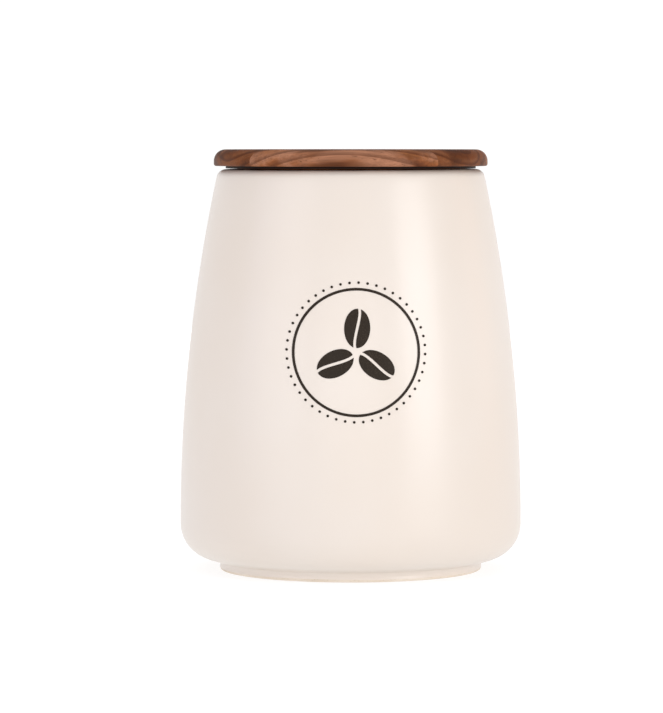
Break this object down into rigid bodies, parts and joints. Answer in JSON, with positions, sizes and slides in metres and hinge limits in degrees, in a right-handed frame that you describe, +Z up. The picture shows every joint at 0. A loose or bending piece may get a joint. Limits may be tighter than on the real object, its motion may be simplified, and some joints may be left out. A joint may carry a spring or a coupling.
{
  "type": "coffee canister",
  "caption": "Round glazed stoneware storage canister on a low foot ring, with a lift-off turned wood lid sealed by a silicone ring.",
  "frame": {"origin": "centre of the foot ring's underside, on the surface that the canister stands on", "axes": "+Z up along the axis of revolution; -Y is the front, which carries the printed emblem; +X is to the right as seen from the front"},
  "size_m": [0.13, 0.13, 0.1602],
  "materials": {
    "cream_glaze": "satin cream glaze over stoneware, bare on the foot ring's underside",
    "print_ink": "brown-black ceramic transfer fired onto the glaze",
    "acacia_light": "oiled acacia, satin",
    "acacia_mid": "oiled acacia, satin",
    "silicone": "translucent white silicone"
  },
  "bodies": {
    "jar": {"jar_body": "cream_glaze", "front_transfer": "print_ink"},
    "seal": {"seal_ring": "silicone"},
    "lid": {"lid_stave_front": "acacia_light", "lid_stave_mid_front": "acacia_mid", "lid_stave_mid_back": "acacia_light", "lid_stave_back": "acacia_mid"}
  },
  "joints": [
    {"name": "lid_lift", "type": "slide", "parent": "jar", "child": "seal", "axis": [0, 0, 1], "range_m": [0, 0.12]},
    {"name": "lid_turn", "type": "hinge", "parent": "seal", "child": "lid", "pos_m": [0, 0, 0.1539], "axis": [0, 0, 1], "continuous": true}
  ]
}
